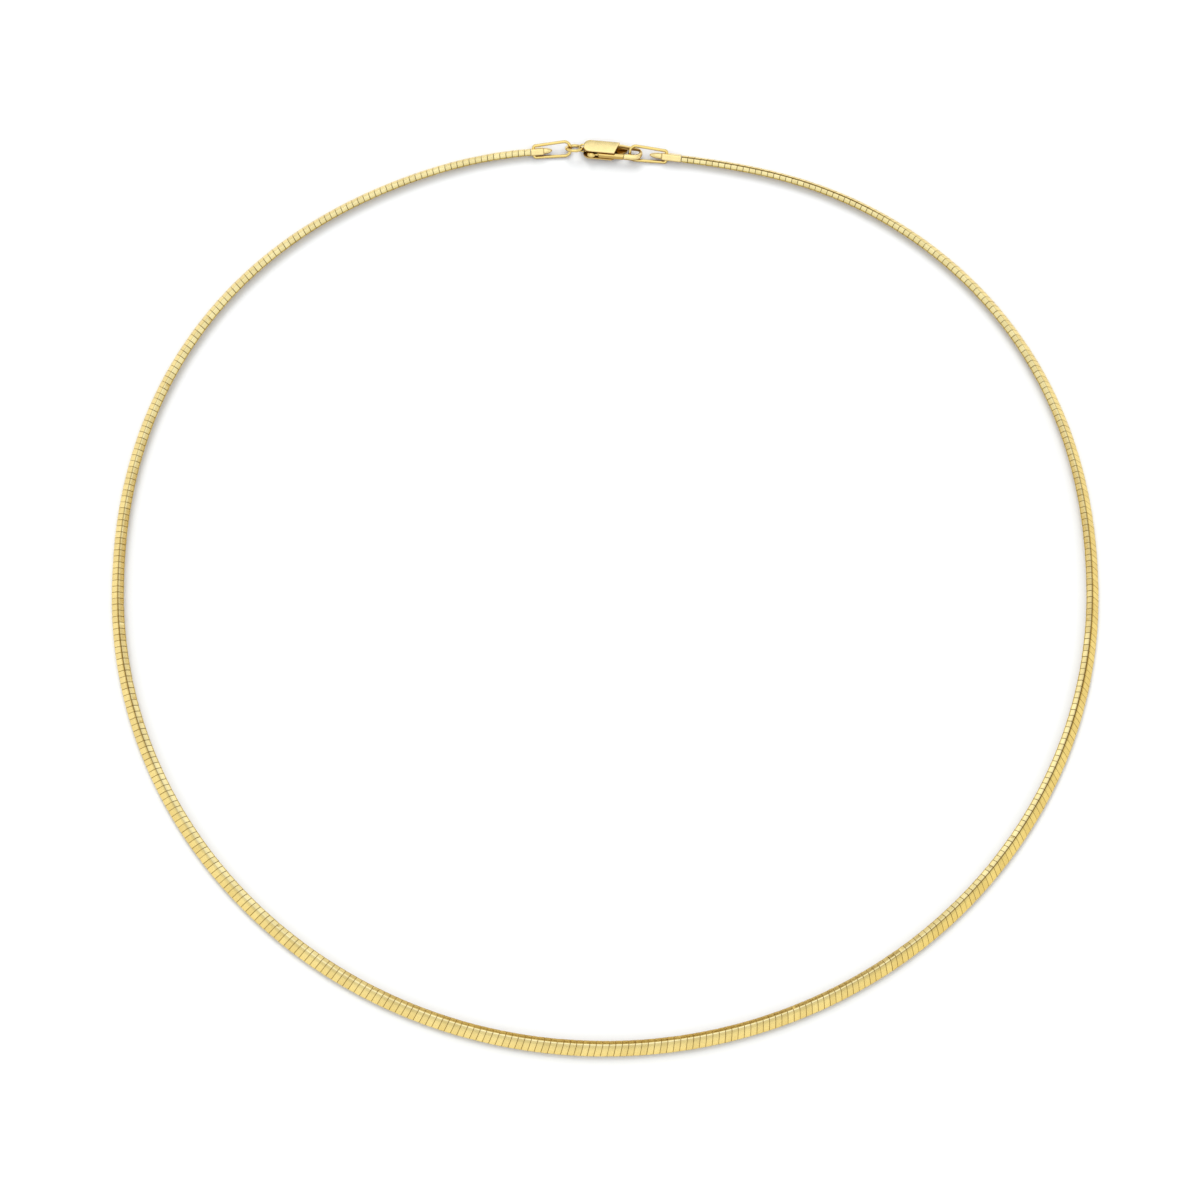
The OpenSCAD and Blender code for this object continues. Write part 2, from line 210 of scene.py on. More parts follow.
def meshFromGrid(name, grid, closedAlong, uv=None, sharp=35):
    # grid is rows x columns x 3, in metres: a row's points run round a section, and each row is
    # joined to the next by four-sided faces. An open end is closed by one face. Faces are
    # turned outwards where the volume that they enclose comes out negative. uv is (u of the
    # rows, v of the columns and of the seam once more).
    rows, cols = grid.shape[:2]
    index = np.arange(rows * cols).reshape(rows, cols)
    wrapped = np.vstack([index, index[:1]]) if closedAlong else index
    wrapped = np.hstack([wrapped, wrapped[:, :1]])
    quads = aroundFaces(wrapped).reshape(-1, 4)
    points = grid.reshape(-1, 3)
    middle = points.mean(0)
    p = [points[quads[:, k]] - middle for k in range(4)]
    volume = np.einsum("ij,ij->", p[0], np.cross(p[1], p[2]) + np.cross(p[2], p[3]))
    ends = [] if closedAlong else [index[0], index[-1][::-1]]
    flip = volume < 0
    faces = (quads[:, ::-1] if flip else quads).tolist()
    faces += [(e[::-1] if flip else e).tolist() for e in ends]
    mesh = bpy.data.meshes.new(name)
    mesh.from_pydata(points.tolist(), [], faces)
    if uv is not None:
        u, v = np.meshgrid(*uv, indexing="ij")
        corners = np.stack([aroundFaces(u), aroundFaces(v)], -1).reshape(-1, 4, 2)
        corners = corners[:, ::-1] if flip else corners
        atEnds = np.tile(corners[:1, 0], (sum(len(e) for e in ends), 1))
        flat = np.concatenate([corners.reshape(-1, 2), atEnds])
        layer = mesh.uv_layers.new(name="along")
        layer.data.foreach_set("uv", flat.astype(np.float32).ravel())
    mesh.polygons.foreach_set("use_smooth", np.ones(len(mesh.polygons), bool))
    mesh.set_sharp_from_angle(angle=math.radians(sharp))
    mesh.update()
    return mesh


def meshFromParts(name, grids):
    # several closed shapes in one mesh, each an open-ended grid closed by a face at either end
    meshes = [meshFromGrid(name, g, False) for g in grids]
    if len(meshes) == 1:
        return meshes[0]
    joined = bmesh.new()
    for m in meshes:
        joined.from_mesh(m)
        bpy.data.meshes.remove(m)
    mesh = bpy.data.meshes.new(name)
    joined.to_mesh(mesh)
    joined.free()
    return mesh


# painted shade on surfaces that turn downwards
undersideShade = {
    "start": 0.58,          # upward part of the normal where the painted shade starts
    "over": 0.38,           # how much less of it until the painted shade is full
}


def shadeBy(mesh, inside=None):
    # The attribute "shade", painted shade, is the smooth step, x ^ 2 * (3 - 2 x), of (start - upward
    # part of the normal) / over, and at least as high as the piece's own painted shade for the
    # point.
    normals = np.empty(len(mesh.vertices) * 3, np.float32)
    mesh.vertex_normals.foreach_get("vector", normals)
    up = normals.reshape(-1, 3)[:, 2]
    down = np.clip((undersideShade["start"] - up) / undersideShade["over"], 0, 1)
    shade = down ** 2 * (3 - 2 * down)
    if inside is not None:
        shade = np.maximum(shade, np.concatenate([g.ravel() for g in inside]))
    layer = mesh.attributes.new("shade", "FLOAT", "POINT")
    layer.data.foreach_set("value", shade.astype(np.float32))
    return mesh


def place(name, mesh, material, body, nodes):
    # the mesh as a piece of the object: its finish, the body it rides on, what it stands for
    piece = bpy.data.objects.new(name, mesh)
    scene.collection.objects.link(piece)
    mesh.materials.append(material)
    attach(piece, body)
    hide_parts(*nodes)


# the loop's line, as in the solids

loop = {
    "halfWidth": 73.1,
    "frontDepth": 71.9,
    "backDepth": 70.8,
    "fullness": 2.18,       # power of the back's curve, 2 for an ellipse
    "lean": 0.057,          # how far the back is tipped, a share of x
    "leanPower": 28,
    "shift": 0.202161,      # the whole necklace moved back, so that it is centred
    "rightEnd": 80.7796,    # degrees
    "leftEnd": 98.9689,
}


def loopPoint(angle):
    # x is the half width times the cosine. In front y is the front depth times the sine.
    # At the back y is the back depth times (1 - |x / half width| ^ n) ^ (1/n), less a
    # lean that grows with x and fades quickly away from the back.
    a = np.radians(angle)
    x = loop["halfWidth"] * np.cos(a)
    n = loop["fullness"]
    arch = loop["backDepth"] * (1 - np.minimum(np.abs(x) / loop["halfWidth"], 1) ** n) ** (1 / n)
    leaned = arch - loop["lean"] * x * (arch / loop["backDepth"]) ** loop["leanPower"]
    y = np.where(np.sin(a) >= 0, leaned, loop["frontDepth"] * np.sin(a))
    return np.stack([x, y], -1)


def loopOutward(angle):
    # the step from half a degree ahead to half a degree behind, at unit length and turned a
    # quarter turn, so that it points away from the loop's middle
    step = loopPoint(angle - 0.5) - loopPoint(angle + 0.5)
    step /= np.linalg.norm(step, axis=-1, keepdims=True)
    return np.stack([-step[..., 1], step[..., 0]], -1)


# the band of plates

band = {
    "plates": 452,
    "frontFace": 2.25,      # height of the polished face, in front and at the back
    "backFace": 1.25,
    "frontThick": 1.2,
    "backThick": 0.9,
    "edge": 0.2,
    "tilt": 34.0,           # degrees from upright, top edge inwards
    "taperPower": 0.45,     # under 1, the band narrows mostly near the back
    "slant": 0.42,          # how far a plate's line runs with the clock from top to bottom
    "slantFrom": 3,         # plates from either end until the slant is full
    "lineHalf": 0.045,      # share of a plate taken by each side of the line between two
    "lineDepth": 0.05,
    "wobble": 0.010,        # how unevenly the plates sit
}

# Round the section, from the bottom of the outer corner up the polished face, over the crest
# and down the inner side: x is a * thickness / 2 + b, y is c * face / 2 + d + e * thickness
outline = np.array([
    # a, b, c, d, e
    (1, -0.20, -1, 0.00, 0),
    (1, -0.12, -1, 0.02, 0),
    (1, -0.06, -1, 0.06, 0),
    (1, -0.02, -1, 0.12, 0),
    (1, 0.00, -1, 0.20, 0),
    (1, 0.035, -0.45, 0, 0),
    (1, 0.045, 0, 0, 0),
    (1, 0.035, 0.45, 0, 0),
    (1, 0.00, 1, -0.12, -0.12),
    (1, -0.03, 1, -0.07, -0.12),
    (1, -0.10, 1, -0.08, -0.12),
    (1, -0.13, 1, -0.015, -0.13),
    (0.90, -0.11, 1, 0, -0.070),
    (0.83, -0.09, 1, 0, -0.030),
    (0.74, -0.05, 1, 0, -0.010),
    (0.62, -0.02, 1, 0, -0.002),
    (0.30, 0, 1, 0, 0),
    (-0.40, 0, 1, -0.005, 0),
    (-0.70, 0, 1, -0.03, 0),
    (-0.88, 0, 1, -0.08, 0),
    (-0.97, 0, 1, -0.16, 0),
    (-1, 0, 1, -0.30, 0),
    (-1, 0, 0, 0, 0),
    (-1, 0, -1, 0.20, 0),
    (-1, 0.06, -1, 0.06, 0),
    (-1, 0.20, -1, 0.00, 0),
])
# the three points of the crease, and the same where it is only a rounded corner
creaseRows = slice(9, 12)
stripRows = slice(15, 22)
softCrease = np.array([
    (1, -0.02, 1, -0.075, -0.12),
    (1, -0.05, 1, -0.040, -0.12),
    (1, -0.09, 1, -0.014, -0.125),
])

# round the loop, in degrees with the clock from the right: how sharp the crease is there and how
# strong its painted shade, how much warm painted shade the face has, and how much brown painted
# shade the strip on top has
turns = np.array([
    (-80, 0.9, 0.2, 0), (-57, 1.0, 0.2, 0), (-50, 0.3, 0.2, 0), (-30, 0.3, 0.4, 0),
    (-15, 0.6, 0.7, 0), (0, 0.8, 1.0, 0), (12, 1.0, 1.0, 0), (32, 1.0, 1.2, 0),
    (45, 0.85, 1.2, 0.1), (60, 0.5, 0.5, 0.6), (75, 0.45, 0.3, 1), (105, 0.45, 0.2, 1),
    (120, 0.4, 0.2, 0.5), (135, 0.4, 0.4, 0), (150, 0.42, 0.4, 0), (160, 0.8, 0.3, 0),
    (172, 0.9, 0.1, 0.2), (185, 0.6, 0.2, 0.2), (198, 0.45, 0.2, 0), (225, 0.25, 0.2, 0),
    (262, 0.15, 0.1, 0),
])


def roundLoop(angle):
    # the three shares at an angle of the loop's line, by the turn seen from the middle, each
    # straight between the rows of the table
    spot = loopPoint(angle)
    turn = (np.degrees(np.arctan2(-spot[:, 1], spot[:, 0])) + 90) % 360 - 90
    return [np.interp(turn, turns[:, 0], turns[:, k]) for k in (1, 2, 3)]


def bandGrid():
    # Each plate gives four rows: the line before it, its first edge, its middle and its last
    # edge. A row's points stand on the loop's middle line, shifted along it by the plate's
    # slant, and lean outwards by the tilt. Points on a line are set in by its depth. Face and
    # thickness go from back to front as ((1 - outward y) / 2) ^ taper power.
    n = band["plates"]
    table = np.linspace(loop["rightEnd"], loop["leftEnd"] - 360, 20001)     # fine enough
    line = loopPoint(table)
    run = np.concatenate([[0], np.cumsum(np.linalg.norm(np.diff(line, axis=0), axis=1))])
    pitch = run[-1] / n
    half = band["lineHalf"]
    share = np.array([0, half, 0.5, 1 - half])
    along = np.append((np.arange(n)[:, None] + share).ravel(), n)          # in plates
    inLine = np.append(np.tile([1.0, 0, 0, 0], n), 1.0)
    plate = np.minimum(along.astype(int), n - 1)

    angle = np.interp(along * pitch, run, table)
    outward = loopOutward(angle)
    taper = (np.maximum(1 - outward[:, 1], 0) / 2) ** band["taperPower"]
    face = (band["backFace"] + (band["frontFace"] - band["backFace"]) * taper)[:, None]
    thick = (band["backThick"] + (band["frontThick"] - band["backThick"]) * taper)[:, None]
    creaseAndShade, faceShade, stripShade = roundLoop(angle)
    soft = outline.copy()
    soft[creaseRows] = softCrease
    blend = creaseAndShade[:, None, None]
    a, b, c, d, e = np.moveaxis(blend * outline + (1 - blend) * soft, -1, 0)
    x = a * thick / 2 + b
    y = c * face / 2 + d + e * thick

    # out of the section, for the lines and the unevenness of the plates
    section = np.stack([x, y], -1)
    ahead = np.roll(section, -1, 1) - np.roll(section, 1, 1)
    ahead /= np.linalg.norm(ahead, axis=-1, keepdims=True)
    out = np.stack([ahead[..., 1], -ahead[..., 0]], -1)
    rock = rng.normal(0, band["wobble"], (n, 2))[plate] * (along - plate - 0.5)[:, None] * 2
    lift = rng.normal(0, band["wobble"] * 0.5, n)[plate][:, None]
    uneven = np.where(a == 1, rock[:, :1], rock[:, 1:]) + lift
    push = -band["lineDepth"] * inLine[:, None] + (1 - inLine)[:, None] * uneven
    x = x + push * out[..., 0]
    y = y + push * out[..., 1]

    # the slant of the lines, none at the top and at the band's two ends
    fade = np.clip(np.minimum(along, n - along) / band["slantFrom"], 0, 1)[:, None]
    shift = band["slant"] * np.clip(0.5 - y / face, 0, 1) * fade
    spot = np.interp(np.clip(along[:, None] * pitch + shift, 0, run[-1]), run, table)
    middle, side = loopPoint(spot), loopOutward(spot)
    tilt = math.radians(band["tilt"])
    r = band["edge"]
    height = (face / 2 - r) * math.cos(tilt) + (thick / 2 - r) * math.sin(tilt) + r
    reach = x * math.cos(tilt) - y * math.sin(tilt)
    top = height + x * math.sin(tilt) + y * math.cos(tilt)
    grid = np.concatenate([middle + reach[..., None] * side, top[..., None]], -1)
    grid[..., 1] += loop["shift"]
    grid[..., 2] = np.maximum(grid[..., 2], 0)
    return grid * mm, along, creaseAndShade, faceShade, stripShade


platesLook = {
    # where round the section, in points of the outline, and the colour there: face,
    # crease, crest, inner part, inner side. The paler crest is a painted highlight, the dark brown
    # inner part painted shade.
    "zones": [
        (0, (0.86, 0.66, 0.25)), (4, (0.88, 0.68, 0.25)), (8.5, (0.90, 0.73, 0.32)),
        (11.5, (0.93, 0.81, 0.44)), (13.5, (0.93, 0.80, 0.42)), (15.5, (0.92, 0.78, 0.39)),
        (17.1, (0.91, 0.76, 0.36)), (17.7, (0.58, 0.41, 0.10)), (21, (0.44, 0.29, 0.06)),
        (26, (0.78, 0.60, 0.22)),
    ],
    "tone": (0.94, 1.04),                                   # darkest and lightest plate
    "tint": ((1.0, 0.98, 0.94), (0.99, 1.0, 1.03)),         # warmest and palest plate
    "warm": (0.93, 0.88, 0.68),                             # painted shade, times the face's colour
    "brown": (0.78, 0.64, 0.34),                            # painted shade, times the strip's colour
    # the colour of the painted shade in the crease
    "creaseAndShade": (0.25, 0.15, 0.03),
    "line": ((0.38, 0.26, 0.08), (0.20, 0.12, 0.03)),       # painted shade in the gap between plates, on the face and on the strip
    "lineWidth": (0.02, 0.085),                             # in plates, from its middle
    "lineDark": 0.85,
    "lineFade": -0.7,                                       # where the strip has painted shade
    "lineTurn": (11.0, 12.0),                               # where face gives way to strip
    "rough": (0.20, 0.32),
    "grain": 2600.0,
    "relief": (0.05, 0.00005),                              # strength, and depth in metres
}


def grainInput(tree, shader, scale, detail, rough, relief):
    # fine noise in Object coordinates, which sets the gloss and a very low relief
    strength, depth = relief
    place3 = add(tree, "ShaderNodeTexCoord").outputs["Object"]
    inputs = [("Vector", place3), ("Scale", scale), ("Detail", detail)]
    grain = add(tree, "ShaderNodeTexNoise", inputs).outputs["Fac"]
    tree.links.new(rise(tree, grain, 0.3, 0.7, *rough), shader.inputs["Roughness"])
    inputs = [("Strength", strength), ("Distance", depth), ("Height", grain)]
    tree.links.new(add(tree, "ShaderNodeBump", inputs).outputs[0], shader.inputs["Normal"])
    shader.inputs["Metallic"].default_value = 1.0
    return place3


def platesMaterial():
    # polished gold told apart by place: the UV's u counts plates, v runs round the section
    mat, tree, shader = newMaterial("platesGold")
    look = platesLook
    uv = add(tree, "ShaderNodeUVMap", uv_map="along").outputs[0]
    split = add(tree, "ShaderNodeSeparateXYZ", [(0, uv)])
    u, v = split.outputs[0], split.outputs[1]
    count = len(outline)
    number = mathNode(tree, "FLOOR", u)
    frac = mathNode(tree, "FRACT", u)

    # colour by zone
    ramp = add(tree, "ShaderNodeValToRGB", [(0, v)])
    stops = ramp.color_ramp.elements
    first, *between, last = look["zones"]
    stops[0].color = solid(first[1])
    stops[1].color = solid(last[1])
    for at, color in between:
        stops.new(at / count).color = solid(color)

    # every plate a little lighter or darker, paler or warmer than the next
    chance = add(tree, "ShaderNodeTexWhiteNoise", [("W", number)], noise_dimensions="1D")
    chance = chance.outputs["Value"]
    tone = rise(tree, chance, 0.0, 1.0, *look["tone"])
    tint = mixColor(tree, chance, *[solid(c) for c in look["tint"]])
    scaled = add(tree, "ShaderNodeVectorMath", [(0, tint), ("Scale", tone)], operation="SCALE")
    color = mixColor(tree, 1.0, ramp.outputs[0], scaled.outputs[0], "MULTIPLY")

    # painted shade: warm on stretches of the face, brown on the strip in front, and dark in the
    # crease
    faceShade, stripShade, creaseAndShade = [add(tree, "ShaderNodeAttribute", attribute_name=name).outputs["Fac"]
                                 for name in ("faceShade", "brown", "creaseAndShade")]
    color = mixColor(tree, faceShade, color, solid(look["warm"]), "MULTIPLY")
    color = mixColor(tree, stripShade, color, solid(look["brown"]), "MULTIPLY")
    color = mixColor(tree, creaseAndShade, color, solid(look["creaseAndShade"]))

    # the line between two plates: a shallow notch in the shape, painted dark as shade in the gap
    fromLine = mathNode(tree, "MINIMUM", frac, mathNode(tree, "SUBTRACT", 1.0, frac))
    lineShare = rise(tree, fromLine, *look["lineWidth"], look["lineDark"], 0.0)
    onBrown = mathNode(tree, "MULTIPLY", lineShare, stripShade)
    lineShare = mathNode(tree, "MULTIPLY_ADD", onBrown, look["lineFade"], lineShare)
    onStrip = rise(tree, v, *[at / count for at in look["lineTurn"]])
    lineColor = mixColor(tree, onStrip, *[solid(c) for c in look["line"]])
    color = mixColor(tree, lineShare, color, lineColor)
    tree.links.new(color, shader.inputs["Base Color"])
    grainInput(tree, shader, look["grain"], 3.0, look["rough"], look["relief"])
    return mat


grid, along, creaseAndShade, faceShade, stripShade = bandGrid()
columns = np.arange(len(outline) + 1) / len(outline)
bandMesh = meshFromGrid("plates", grid, False, (along, columns), 30)
faceRows = slice(0, creaseRows.start)
# the crease's sharpness with its painted shade, and the painted shade of face and strip, as
# attributes of the points
for name, share, rows in [("creaseAndShade", creaseAndShade, creaseRows), ("faceShade", faceShade, faceRows),
                          ("brown", stripShade, stripRows)]:
    value = np.zeros(grid.shape[:2], np.float32)
    value[:, rows] = share[:, None]
    layer = bandMesh.attributes.new(name, "FLOAT", "POINT")
    layer.data.foreach_set("value", value.ravel())
place("plates", bandMesh, platesMaterial(), "necklace", ["band"])
print("band made:", band["plates"], "plates,", len(bandMesh.polygons), "faces")


# gold for the findings

goldLook = {
    # colour, roughness from and to, size of the grain
    "capGold": ((0.95, 0.76, 0.35), (0.16, 0.28), 2400.0),
    "wireGold": ((0.87, 0.66, 0.24), (0.10, 0.20), 1800.0),
    "claspGold": ((0.96, 0.76, 0.35), (0.14, 0.24), 2200.0),
    # the lever's gold is the clasp's, painted darker as shade where it sits between the cheeks
    "shadedLeverGold": ((0.86, 0.64, 0.23), (0.14, 0.24), 2200.0),
}
paintedShadeGold = (0.36, 0.20, 0.04)       # painted shade, where a surface looks down or into the clasp
cloudTone = 0.95                    # the darker clouds, as a share of the colour
cloudSize = 0.3                     # the clouds' scale, as a share of the grain's
goldRelief = (0.08, 0.00004)        # strength, and depth in metres


def goldMaterial(name):
    # Cast and polished gold: fine clouds in its tone and gloss. The piece's own attribute
    # "shade" takes it towards a dark brown, as painted shade.
    color, rough, scale = goldLook[name]
    mat, tree, shader = newMaterial(name)
    place3 = grainInput(tree, shader, scale, 4.0, rough, goldRelief)
    inputs = [("Vector", place3), ("Scale", scale * cloudSize), ("Detail", 2.0)]
    clouds = rise(tree, add(tree, "ShaderNodeTexNoise", inputs).outputs["Fac"], 0.35, 0.65)
    tone = mixColor(tree, clouds, solid([c * cloudTone for c in color]), solid(color))
    shade = add(tree, "ShaderNodeAttribute", attribute_name="shade").outputs["Fac"]
    tone = mixColor(tree, shade, tone, solid(paintedShadeGold))
    tree.links.new(tone, shader.inputs["Base Color"])
    return mat


capGold, wireGold, claspGold, shadedLeverGold = [goldMaterial(name) for name in goldLook]


# shapes that the findings share

fineness = {
    # points round and rows along the round shapes
    "wireRound": 24, "wireCorner": 16, "ringAlong": 96, "edgeCorner": 6, "capAlong": 12,
    "barAlong": 24, "noseRound": 36, "noseAlong": 16, "clawRound": 40, "clawAlong": 90,
    "leverRound": 48, "tabAlong": 32, "neckAlong": 8,
}
sectionStep = 0.12      # between points on a bar's straight sides
rowCrowd = 1.5          # over 1, a bar's rows lie closer at its left end


def circle(count):
    # the angles of points round a full circle
    return np.linspace(0, 2 * np.pi, count, endpoint=False)


def roundCorners(corner, radius, steps):
    # Each corner of a closed flat outline becomes an arc. Its centre lies radius * tan(turn / 2)
    # before the corner, and radius to the side that the outline turns to. Gives the points
    # and the direction away from the inside at each.
    before = corner - np.roll(corner, 1, 0)
    before /= np.linalg.norm(before, axis=1, keepdims=True)
    after = np.roll(before, -1, 0)
    left = np.stack([-before[:, 1], before[:, 0]], 1)
    turn = np.arctan2(np.sum(left * after, 1), np.sum(before * after, 1))
    side = np.sign(turn)
    runIn = (radius * np.tan(abs(turn) / 2))[:, None] * before
    centre = corner - runIn + (radius * side)[:, None] * left
    start = np.arctan2(before[:, 1], before[:, 0])[:, None]
    heading = start + turn[:, None] * np.linspace(0, 1, steps)
    out = np.stack([np.sin(heading), -np.cos(heading)], -1)
    line = centre[:, None] + (radius * side)[:, None, None] * out
    return line.reshape(-1, 2), out.reshape(-1, 2)


def fillLine(points):
    # a closed outline with a point added at each step along its straight stretches, found by
    # the distance run so far
    closed = np.vstack([points, points[:1]])
    run = np.concatenate([[0], np.cumsum(np.linalg.norm(np.diff(closed, axis=0), axis=1))])
    even = np.arange(0, run[-1] - sectionStep / 2, sectionStep)
    wanted = np.union1d(np.round(run[:-1], 4), np.round(even, 4))
    return np.stack([np.interp(wanted, run, closed[:, k]) for k in (0, 1)], -1)


def barSection(low, high, edge):
    # a rectangle between two opposite corners, its four corners arcs of radius edge
    corner = np.array([low, (high[0], low[1]), high, (low[0], high[1])], float)
    return fillLine(roundCorners(corner, np.full(4, edge), fineness["edgeCorner"])[0])


def softEnds(count, soft):
    # places from 0 to 1 along a bar, how far its section is drawn in at each, and how far each
    # stands back from its place: a quarter circle of steps of radius soft at either end
    n = fineness["edgeCorner"]
    quarter = np.linspace(0, np.pi / 2, n)
    still = np.zeros(count - 2)
    shares = np.concatenate([np.zeros(n), np.linspace(0, 1, count)[1:-1], np.ones(n)])
    inset = soft * np.concatenate([1 - np.sin(quarter), still, 1 - np.cos(quarter)])
    back = soft * np.concatenate([1 - np.cos(quarter), still, np.sin(quarter) - 1])
    return shares, inset, back


def drawnIn(section, inset):
    # the section once for each inset: its half sizes times 1 - inset / half size
    middle = (section.max(0) + section.min(0)) / 2
    half = (section.max(0) - section.min(0)) / 2
    shrink = 1 - inset[:, None, None] / half
    return middle + (section - middle) * np.maximum(shrink, 0.02)


def torusGrid(middleRadius, thick):
    # a circle of points carried round a larger circle: the distance from the axis is the
    # larger radius plus r cos, the height r sin
    r = thick / 2
    big = circle(fineness["ringAlong"])[:, None]
    small = circle(fineness["wireRound"])[None, :]
    out = middleRadius + r * np.cos(small)
    return np.stack([out * np.cos(big), out * np.sin(big), r * np.sin(small) + 0 * big], -1)


def turned(axis, degrees):
    # the 3 x 3 matrix of a turn about one axis
    return np.array(Matrix.Rotation(math.radians(degrees), 3, axis))


shift = np.array([0, loop["shift"], 0])     # as the band's


# end caps

cap = {
    "face": 1.45,
    "thick": 1.1,
    "edge": 0.2,
    "soft": 0.07,           # rounding of the body's two ends
    "dome": 0.05,           # bulge of the face
    "noseFace": 1.1,
    "noseThick": 0.9,
    "nosePower": 2.4,       # higher is blunter
    "noseSquare": 0.75,     # 1 for an ellipse, less is squarer
    "noseHidden": -0.2,     # where the nose starts inside the body, in nose lengths
    "noseFootShade": (-0.01, 0.06, 0.9),           # painted shade round the nose's foot: from and to, in nose lengths, and how dark
    "gap": 0.05,            # from the band's end
    # pin: middle of the stirrup's pin, pinAt: how far that is from the band's end, way: along
    # the cap towards the clasp
    "leftCap": {
        "node": "left_cap", "body": 1.9, "nose": 1.35, "pinAt": 0.5,
        "pin": (-10.8981, 70.7938, 0.830962), "way": (0.996308, 0.0858475),
    },
    "rightCap": {
        "node": "right_cap", "body": 2.95, "nose": 1.95, "pinAt": 2.35,
        "pin": (9.38376, 69.9838, 0.830962), "way": (-0.991143, 0.132796),
    },
}


def capParts(bodyLength, noseLength):
    # Body: a rounded bar whose wide sides bulge by dome * (1 - (y / half face) ^ 2).
    # Nose: its half sizes fall as the root of 1 - t ^ power, from t = 0 at the body to 1 at the
    # tip, and its section is cos and sin, each to the power square.
    # A ring of painted shade darkens the nose's foot.
    half = np.array([cap["thick"] / 2 - cap["dome"], cap["face"] / 2])
    section = barSection(-half, half, cap["edge"])
    shares, inset, back = softEnds(fineness["capAlong"], cap["soft"])
    ring = drawnIn(section, inset)
    x, y = ring[..., 0], ring[..., 1]
    bulge = cap["dome"] * (1 - (y / half[1]) ** 2)
    x = x + np.sign(x) * bulge * np.clip(abs(x) / half[0], 0, 1)
    along = (shares * bodyLength + back)[:, None] + 0 * x
    body = np.stack([x, y, along], -1)

    # rows from body to tip, closer together at the tip and ending just short of it
    eased = np.sin(np.linspace(0.08, 1, fineness["noseAlong"]) * np.pi / 2) * 0.998
    t = np.concatenate([[cap["noseHidden"], 0], eased])
    fall = np.sqrt(1 - np.maximum(t, 0) ** cap["nosePower"])[:, None]
    around = circle(fineness["noseRound"])[None, :]
    ca, sa = np.cos(around), np.sin(around)
    x = cap["noseThick"] / 2 * fall * np.sign(ca) * abs(ca) ** cap["noseSquare"]
    y = cap["noseFace"] / 2 * fall * np.sign(sa) * abs(sa) ** cap["noseSquare"]
    nose = np.stack([x, y, bodyLength + t[:, None] * noseLength + 0 * x], -1)
    low, high, dark = cap["noseFootShade"]
    noseFootShade = np.where((t > low) & (t < high), dark, 0)[:, None] + 0 * around
    return [body, nose], [0 * body[..., 0], noseFootShade]


def onRun(parts, start, direction):
    # local x outwards across the band, y up its face, z along the run towards the clasp: x and
    # y are turned by the tilt, and all starts at one point
    away = np.array([-direction[1], direction[0], 0]) * (1 if direction[0] > 0 else -1)
    up = np.array([0, 0, 1])
    tilt = math.radians(band["tilt"])
    axes = np.array([away * math.cos(tilt) + up * math.sin(tilt),
                     -away * math.sin(tilt) + up * math.cos(tilt),
                     [direction[0], direction[1], 0]])
    return [(p @ axes + start) * mm for p in parts]


for name in ("leftCap", "rightCap"):
    side = cap[name]
    start = shift + side["pin"] + (cap["gap"] - side["pinAt"]) * np.append(side["way"], 0)
    parts, noseFootShade = capParts(side["body"], side["nose"])
    capMesh = shadeBy(meshFromParts(name, onRun(parts, start, side["way"])), noseFootShade)
    place(name, capMesh, capGold, "necklace", [side["node"]])
print("caps made")


# links and ring

wire = {
    "thick": 0.48,
    "pinWidth": 1.78,       # a stirrup's width at the cap and at its bar
    "barWidth": 2.3,
    "pinBend": 0.3,         # radius of the middle line at its corners
    "barBend": 0.9,
    "leftBar": (-5.33543, 71.3244, 0.977925),
    "rightBar": (3.80215, 70.5723, 1.12503),
    "ringInner": 2.03,
    "ringThick": 0.46,
    "ringTilt": -49.0,
    "ringAt": (-4.68043, 71.2244, 1.19793),
}


def stirrupGrid(pin, bar, roll):
    # The line is a tapered rectangle with round corners, in a plane that holds pin and bar and
    # is rolled about the way from one to the other. A circle of points is carried along it.
    pin, bar = shift + pin, shift + bar
    reach = np.linalg.norm(bar - pin)
    p, q = wire["pinWidth"] / 2, wire["barWidth"] / 2
    corner = np.array([[0, -p], [reach, -q], [reach, q], [0, p]])
    bend = np.array([wire["pinBend"], wire["barBend"], wire["barBend"], wire["pinBend"]])
    flat, side = roundCorners(corner, bend, fineness["wireCorner"])
    around = circle(fineness["wireRound"])[None, :, None]
    r = wire["thick"] / 2
    level = flat[:, None] + r * np.cos(around) * side[:, None]
    local = np.concatenate([level, r * np.sin(around) + 0 * level[..., :1]], -1)
    way = (bar - pin) / reach
    pose = turned("Z", math.degrees(math.atan2(way[1], way[0])))
    pose = pose @ turned("Y", -math.degrees(math.asin(way[2]))) @ turned("X", roll)
    return (local @ pose.T + pin) * mm


def ringGrid():
    # a torus tilted about x
    grid = torusGrid((wire["ringInner"] + wire["ringThick"]) / 2, wire["ringThick"])
    return (grid @ turned("X", wire["ringTilt"]).T + shift + wire["ringAt"]) * mm


leftGrid = stirrupGrid(cap["leftCap"]["pin"], wire["leftBar"], band["tilt"])
rightGrid = stirrupGrid(cap["rightCap"]["pin"], wire["rightBar"], -band["tilt"])
for name, wireGrid, node in [("leftStirrup", leftGrid, "left_link"),
                             ("rightStirrup", rightGrid, "right_link"),
                             ("claspRing", ringGrid(), "jump_ring")]:
    wireMesh = shadeBy(meshFromGrid(name, wireGrid, True))
    place(name, wireMesh, wireGold, "necklace", [node])
print("links and ring made")


# the clasp, in its own frame: x along it, y to its spine, z up, from its middle

